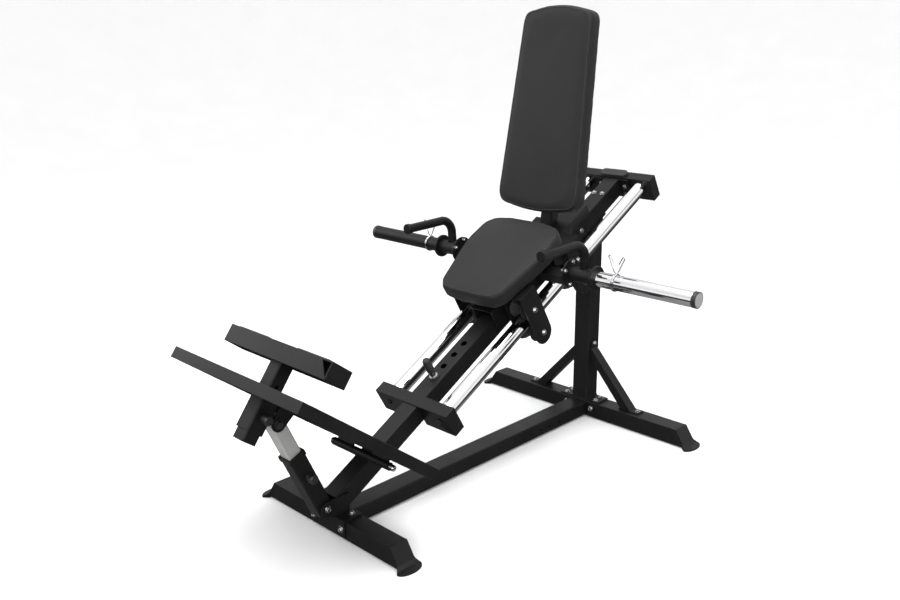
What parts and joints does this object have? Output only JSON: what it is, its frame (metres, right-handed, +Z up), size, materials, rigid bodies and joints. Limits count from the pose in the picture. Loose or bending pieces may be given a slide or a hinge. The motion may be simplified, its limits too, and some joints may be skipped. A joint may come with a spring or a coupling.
{
  "type": "leg press machine",
  "caption": "Inclined leg press: a roller seat carriage with weight horns rides twin guide tubes on a floor frame with a tilting footplate and calf block.",
  "frame": {"origin": "centre of the bounding box, at floor level", "axes": "+X to the sitter's left, seen from the footplate the right side; +Y from the footplate end to the upper end of the rail; +Z up"},
  "size_m": [1.43, 1.7969, 1.5405],
  "materials": {
    "black": "satin black powder coat",
    "chrome": "polished chrome",
    "plastic": "black knob",
    "rubber": "black rubber",
    "silver": "light grey satin",
    "vinyl": "matt charcoal vinyl",
    "wood": "black stained plywood",
    "zinc": "zinc plated"
  },
  "bodies": {
    "frame": {"front_stabiliser": "black", "rear_stabiliser": "black", "foot_front_left": "black", "foot_front_right": "black", "foot_rear_left": "black", "foot_rear_right": "black", "base_beam": "black", "front_bracket": "black", "strut_pivot_pin": "zinc", "upright": "black", "brace_left": "black", "brace_right": "black", "main_rail": "black", "lower_crossbar": "black", "upper_crossbar": "black", "top_bumper": "rubber", "guide_tube_left": "chrome", "guide_tube_right": "chrome", "hinge_knuckle": "black", "hinge_pin": "zinc"},
    "stop_pin_set": {"stop_pin": "zinc", "stop_knob": "rubber"},
    "carriage": {"carriage_frame": "black", "roller_bracket_lower_left": "black", "roller_bracket_lower_right": "black", "roller_bracket_upper_left": "black", "roller_bracket_upper_right": "black", "seat_board": "wood", "seat_pad": "vinyl", "back_post": "black", "back_board": "wood", "back_pad": "vinyl", "horn_arm_left": "black", "horn_arm_right": "black", "horn_sleeve_left": "black", "horn_sleeve_right": "chrome", "handle_left": "black", "handle_right": "black"},
    "roller_lower_left_top_wheel": {"roller_lower_left_top": "rubber"},
    "roller_lower_left_under_wheel": {"roller_lower_left_under": "rubber"},
    "roller_lower_right_top_wheel": {"roller_lower_right_top": "rubber"},
    "roller_lower_right_under_wheel": {"roller_lower_right_under": "rubber"},
    "roller_upper_left_top_wheel": {"roller_upper_left_top": "rubber"},
    "roller_upper_left_under_wheel": {"roller_upper_left_under": "rubber"},
    "roller_upper_right_top_wheel": {"roller_upper_right_top": "rubber"},
    "roller_upper_right_under_wheel": {"roller_upper_right_under": "rubber"},
    "collar_left": {"spring_collar_left": "zinc"},
    "collar_right": {"spring_collar_right": "zinc"},
    "footplate_tilt": {"footplate": "black", "footplate_sleeve": "black", "footplate_ears": "black", "hinge_leaf_left": "black", "hinge_leaf_right": "black"},
    "calf_pad": {"calf_block": "black", "calf_post": "black"},
    "calf_pull": {"calf_knob": "plastic"},
    "strut_lower": {"strut_outer": "black"},
    "strut_upper": {"strut_inner": "silver"},
    "strut_pull": {"strut_knob": "plastic"}
  },
  "joints": [
    {"name": "carriage_slide", "type": "slide", "parent": "frame", "child": "carriage", "axis": [0, 0.8716, 0.4901], "range_m": [-0.255, 0.19]},
    {"name": "stop_pin_lift", "type": "slide", "parent": "frame", "child": "stop_pin_set", "axis": [0, -0.4901, 0.8716], "range_m": [0, 0.06]},
    {"name": "roller_lower_left_top_spin", "type": "hinge", "parent": "carriage", "child": "roller_lower_left_top_wheel", "pos_m": [-0.117, 0.16908, 0.57327], "axis": [1, 0, 0], "continuous": true},
    {"name": "roller_lower_left_under_spin", "type": "hinge", "parent": "carriage", "child": "roller_lower_left_under_wheel", "pos_m": [-0.117, 0.21956, 0.48349], "axis": [1, 0, 0], "continuous": true},
    {"name": "roller_lower_right_top_spin", "type": "hinge", "parent": "carriage", "child": "roller_lower_right_top_wheel", "pos_m": [0.117, 0.16908, 0.57327], "axis": [1, 0, 0], "continuous": true},
    {"name": "roller_lower_right_under_spin", "type": "hinge", "parent": "carriage", "child": "roller_lower_right_under_wheel", "pos_m": [0.117, 0.21956, 0.48349], "axis": [1, 0, 0], "continuous": true},
    {"name": "roller_upper_left_top_spin", "type": "hinge", "parent": "carriage", "child": "roller_upper_left_top_wheel", "pos_m": [-0.117, 0.39745, 0.70169], "axis": [1, 0, 0], "continuous": true},
    {"name": "roller_upper_left_under_spin", "type": "hinge", "parent": "carriage", "child": "roller_upper_left_under_wheel", "pos_m": [-0.117, 0.44793, 0.61191], "axis": [1, 0, 0], "continuous": true},
    {"name": "roller_upper_right_top_spin", "type": "hinge", "parent": "carriage", "child": "roller_upper_right_top_wheel", "pos_m": [0.117, 0.39745, 0.70169], "axis": [1, 0, 0], "continuous": true},
    {"name": "roller_upper_right_under_spin", "type": "hinge", "parent": "carriage", "child": "roller_upper_right_under_wheel", "pos_m": [0.117, 0.44793, 0.61191], "axis": [1, 0, 0], "continuous": true},
    {"name": "collar_left_slide", "type": "slide", "parent": "carriage", "child": "collar_left", "axis": [-1, 0, 0], "range_m": [-0.035, 0.27]},
    {"name": "collar_right_slide", "type": "slide", "parent": "carriage", "child": "collar_right", "axis": [1, 0, 0], "range_m": [-0.035, 0.27]},
    {"name": "footplate_hinge", "type": "hinge", "parent": "frame", "child": "footplate_tilt", "pos_m": [0, -0.4542, 0.21476], "axis": [1, 0, 0], "range_deg": [-10, 8]},
    {"name": "calf_slide", "type": "slide", "parent": "footplate_tilt", "child": "calf_pad", "axis": [0, 0.606, 0.7955], "range_m": [-0.03, 0.1]},
    {"name": "calf_knob_pull", "type": "slide", "parent": "footplate_tilt", "child": "calf_pull", "axis": [1, 0, 0], "range_m": [0, 0.012], "stiffness_N_per_m": 400, "springref_m": -0.005},
    {"name": "strut_pivot", "type": "hinge", "parent": "frame", "child": "strut_lower", "pos_m": [0, -0.6224, 0.102], "axis": [1, 0, 0], "range_deg": [-30, 30]},
    {"name": "strut_slide", "type": "slide", "parent": "strut_lower", "child": "strut_upper", "axis": [0, -0.4115, 0.9114], "range_m": [-0.06, 0.06]},
    {"name": "strut_knob_pull", "type": "slide", "parent": "strut_lower", "child": "strut_pull", "axis": [1, 0, 0], "range_m": [0, 0.012], "stiffness_N_per_m": 400, "springref_m": -0.005}
  ],
  "couplings": [
    {"joint": "roller_lower_left_top_spin", "follows": "carriage_slide", "rad_per_m": -39.216},
    {"joint": "roller_lower_left_under_spin", "follows": "carriage_slide", "rad_per_m": 39.216},
    {"joint": "roller_lower_right_top_spin", "follows": "carriage_slide", "rad_per_m": -39.216},
    {"joint": "roller_lower_right_under_spin", "follows": "carriage_slide", "rad_per_m": 39.216},
    {"joint": "roller_upper_left_top_spin", "follows": "carriage_slide", "rad_per_m": -39.216},
    {"joint": "roller_upper_left_under_spin", "follows": "carriage_slide", "rad_per_m": 39.216},
    {"joint": "roller_upper_right_top_spin", "follows": "carriage_slide", "rad_per_m": -39.216},
    {"joint": "roller_upper_right_under_spin", "follows": "carriage_slide", "rad_per_m": 39.216},
    {"joint": "strut_pivot", "follows": "footplate_hinge", "ratio": 0.9069},
    {"joint": "strut_slide", "follows": "footplate_hinge", "m_per_rad": -0.1998}
  ]
}
